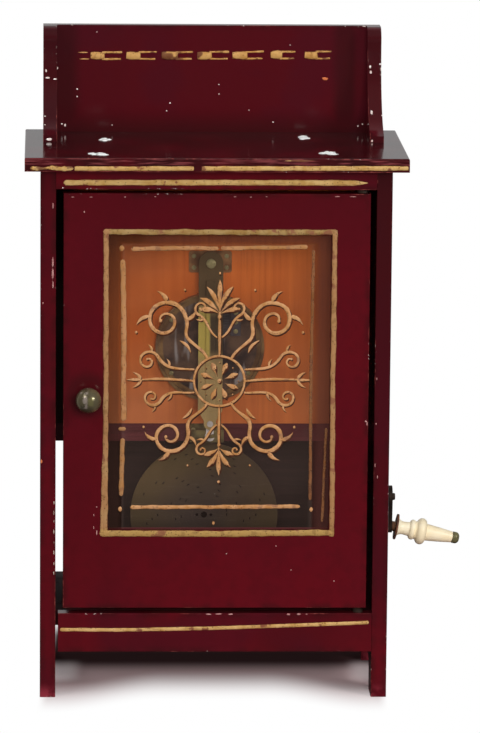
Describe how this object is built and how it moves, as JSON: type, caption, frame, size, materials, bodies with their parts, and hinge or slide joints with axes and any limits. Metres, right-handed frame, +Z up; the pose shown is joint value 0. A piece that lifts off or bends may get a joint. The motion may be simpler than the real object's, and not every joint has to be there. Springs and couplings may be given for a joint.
{
  "type": "disc musical box",
  "caption": "Upright lacquered cabinet with a glazed door, a plucked-comb disc movement with a swinging pressure bar, and a side crank that turns its disc spindle through a belt and worm.",
  "frame": {"origin": "bottom centre of the box round the whole object, crank handle and knob included, on the floor plane", "axes": "+Z up, +X to the right seen from the front, where the crank is, +Y to the rear; the door faces -Y"},
  "size_m": [0.345, 0.1794, 0.508],
  "materials": {
    "red_lacquer": "glossy lacquer",
    "inner_stain": "matt stain",
    "soundboard_wood": "satin",
    "plain_wood": "matt",
    "iron_nail": "dull",
    "aged_brass": "aged",
    "brass_screw": "worn",
    "disc_metal": "patinated",
    "comb_steel": "satin",
    "dark_steel": "browned",
    "pin_metal": "aged",
    "bone": "polished",
    "flange_fibre": "matt",
    "belt_leather": "matt",
    "clear_glass": "clear"
  },
  "bodies": {
    "cabinet": {"top_board": "red_lacquer", "left_side": "red_lacquer", "right_side": "red_lacquer", "header_rail": "red_lacquer", "plinth_rail": "red_lacquer", "bottom_board": "inner_stain", "shelf": "inner_stain", "soundboard": "soundboard_wood", "upper_back_board": "plain_wood", "lower_back_panel": "plain_wood", "gallery_back": "red_lacquer", "gallery_left_side": "red_lacquer", "gallery_right_side": "red_lacquer", "case_nails": "iron_nail", "door_pivot_pins": "dark_steel", "bedplate": "aged_brass", "comb": "comb_steel", "star_posts": "aged_brass", "spindle_bush": "aged_brass", "bar_pivot_screw": "brass_screw", "bar_bracket": "aged_brass", "catch_keeper": "aged_brass", "movement_screws": "brass_screw", "disc_rack": "inner_stain", "stored_disc": "disc_metal", "crank_bush": "aged_brass", "drive_belt": "belt_leather", "wheel_bridge": "dark_steel", "crank_bracket": "dark_steel", "shaft_brackets": "dark_steel", "bracket_screws": "dark_steel"},
    "door": {"door_left_stile": "red_lacquer", "door_right_stile": "red_lacquer", "door_top_rail": "red_lacquer", "door_bottom_rail": "red_lacquer", "door_glass": "clear_glass", "glazing_beads": "inner_stain", "door_pivot_bushes": "aged_brass", "knob_rose": "aged_brass"},
    "knob": {"door_knob": "aged_brass", "knob_spindle": "comb_steel", "latch_tongue": "comb_steel"},
    "bar": {"pressure_bar": "aged_brass", "roller_axle": "comb_steel"},
    "rollers": {"pressure_rollers": "aged_brass"},
    "catch": {"bar_catch": "comb_steel"},
    "stars": {"star_axle": "comb_steel", "star_wheels": "comb_steel"},
    "spindle": {"centre_spindle": "comb_steel", "drive_collar": "aged_brass", "worm_wheel": "aged_brass"},
    "worm": {"worm_shaft": "dark_steel", "worm_pulley": "aged_brass"},
    "crank": {"crank_arm": "dark_steel", "crank_shaft": "dark_steel", "crank_nut": "dark_steel", "handle_pin": "pin_metal", "crank_pulley": "aged_brass"},
    "handle": {"crank_handle": "bone", "handle_flange": "flange_fibre"}
  },
  "joints": [
    {"name": "door_swing", "type": "hinge", "parent": "cabinet", "child": "door", "pos_m": [0.08587, -0.05733, 0.0709], "axis": [0, 0, 1], "range_deg": [0, 105]},
    {"name": "knob_turn", "type": "hinge", "parent": "door", "child": "knob", "pos_m": [-0.12363, -0.06432, 0.237], "axis": [0, 1, 0], "range_deg": [0, 90]},
    {"name": "bar_swing", "type": "hinge", "parent": "cabinet", "child": "bar", "pos_m": [-0.02803, -0.00483, 0.3313], "axis": [0, 1, 0], "range_deg": [0, 55]},
    {"name": "roller_spin", "type": "hinge", "parent": "bar", "child": "rollers", "pos_m": [-0.02803, 0.00007, 0.27345], "axis": [0, 0, 1], "continuous": true},
    {"name": "catch_turn", "type": "hinge", "parent": "bar", "child": "catch", "pos_m": [-0.02803, -0.00252, 0.2045], "axis": [0, -1, 0], "range_deg": [0, 31.43]},
    {"name": "star_spin", "type": "hinge", "parent": "cabinet", "child": "stars", "pos_m": [-0.02803, 0.00808, 0.27345], "axis": [0, 0, 1], "continuous": true},
    {"name": "crank_turn", "type": "hinge", "parent": "cabinet", "child": "crank", "pos_m": [0.10847, 0.04367, 0.1367], "axis": [1, 0, 0], "continuous": true},
    {"name": "handle_spin", "type": "hinge", "parent": "crank", "child": "handle", "pos_m": [0.11857, 0.04367, 0.1129], "axis": [0.9826, 0, -0.1857], "continuous": true},
    {"name": "worm_spin", "type": "hinge", "parent": "cabinet", "child": "worm", "pos_m": [-0.02803, 0.04367, 0.2466], "axis": [1, 0, 0], "continuous": true},
    {"name": "spindle_spin", "type": "hinge", "parent": "cabinet", "child": "spindle", "pos_m": [-0.02803, 0.04367, 0.2627], "axis": [0, 1, 0], "continuous": true}
  ],
  "couplings": [
    {"joint": "worm_spin", "follows": "crank_turn", "ratio": 1.5},
    {"joint": "spindle_spin", "follows": "crank_turn", "ratio": 0.0625}
  ]
}
